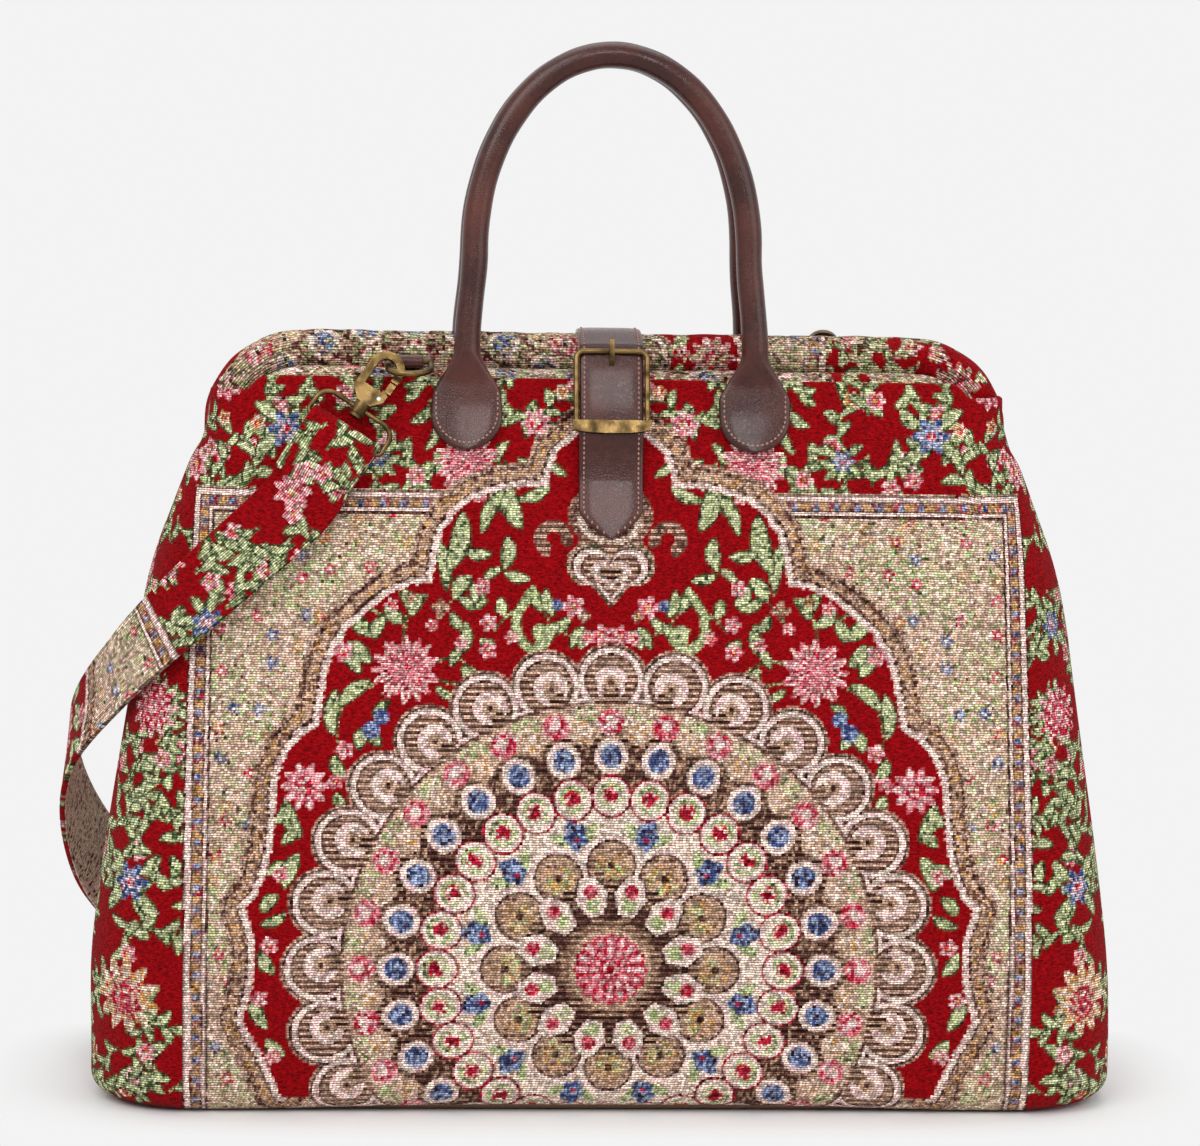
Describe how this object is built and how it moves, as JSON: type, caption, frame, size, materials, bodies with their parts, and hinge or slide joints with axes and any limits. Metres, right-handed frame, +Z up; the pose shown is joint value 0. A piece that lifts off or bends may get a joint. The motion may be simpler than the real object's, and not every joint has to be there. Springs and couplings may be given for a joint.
{
  "type": "carpet bag",
  "caption": "Carpet bag with a rolled rod mouth, rolled leather handles, a buckled belt and a clip-on shoulder strap, for carrying clothes and travel things.",
  "frame": {"origin": "middle of the base, on the floor", "axes": "+Z up, -Y out of the front with the buckle, +X to the right as the front is seen"},
  "size_m": [0.4661, 0.233, 0.461],
  "materials": {
    "carpet": "woven and chenille carpet pile, matte",
    "leather": "dark brown, polished",
    "brass": "antique, worn bright at the edges",
    "steel": "plain wire",
    "board": "grey board"
  },
  "bodies": {
    "bag": {"front_panel": "carpet", "rear_panel": "carpet", "base_panel": "carpet", "base_board": "board", "front_sleeve": "carpet", "rear_sleeve": "carpet", "front_frame": "steel", "rear_frame": "steel", "hinge_rivets": "steel", "front_handle": "leather", "rear_handle": "leather", "belt_strap": "leather", "buckle_frame": "brass", "buckle_prong": "brass", "buckle_chape": "leather", "left_ring_tab": "leather", "right_ring_tab": "leather", "shoulder_strap": "carpet"},
    "left_clip": {"left_dee_ring": "brass", "left_strap_loop": "brass"},
    "left_hook": {"left_hook": "brass", "left_gate_pin": "steel", "left_gate_spring": "steel"},
    "left_gate": {"left_gate": "brass"},
    "right_clip": {"right_dee_ring": "brass", "right_strap_loop": "brass"},
    "right_hook": {"right_hook": "brass", "right_gate_pin": "steel", "right_gate_spring": "steel"},
    "right_gate": {"right_gate": "brass"}
  },
  "joints": [
    {"name": "left_clip_swing", "type": "hinge", "parent": "bag", "child": "left_clip", "pos_m": [-0.088, -0.0145, 0.3205], "axis": [-1, 0, 0], "range_deg": [0, 60], "deforming": ["shoulder_strap"]},
    {"name": "left_hook_swivel", "type": "hinge", "parent": "left_clip", "child": "left_hook", "pos_m": [-0.10797, -0.02921, 0.30283], "axis": [0.5446, 0.2452, 0.802], "range_deg": [-18, 18]},
    {"name": "left_gate_press", "type": "hinge", "parent": "left_hook", "child": "left_gate", "pos_m": [-0.10139, -0.02871, 0.30444], "axis": [0, -0.9563, 0.2924], "range_deg": [0, 25], "stiffness_Nm_per_rad": 0.02, "springref_deg": -11.46},
    {"name": "right_clip_swing", "type": "hinge", "parent": "bag", "child": "right_clip", "pos_m": [0.088, 0.0175, 0.3295], "axis": [1, 0, 0], "range_deg": [0, 60], "deforming": ["shoulder_strap"]},
    {"name": "right_hook_swivel", "type": "hinge", "parent": "right_clip", "child": "right_hook", "pos_m": [0.10797, 0.03053, 0.31218], "axis": [-0.5446, -0.2452, 0.802], "range_deg": [-18, 18]},
    {"name": "right_gate_press", "type": "hinge", "parent": "right_hook", "child": "right_gate", "pos_m": [0.10139, 0.03004, 0.3138], "axis": [0, 0.9563, 0.2924], "range_deg": [0, 25], "stiffness_Nm_per_rad": 0.02, "springref_deg": -11.46}
  ]
}
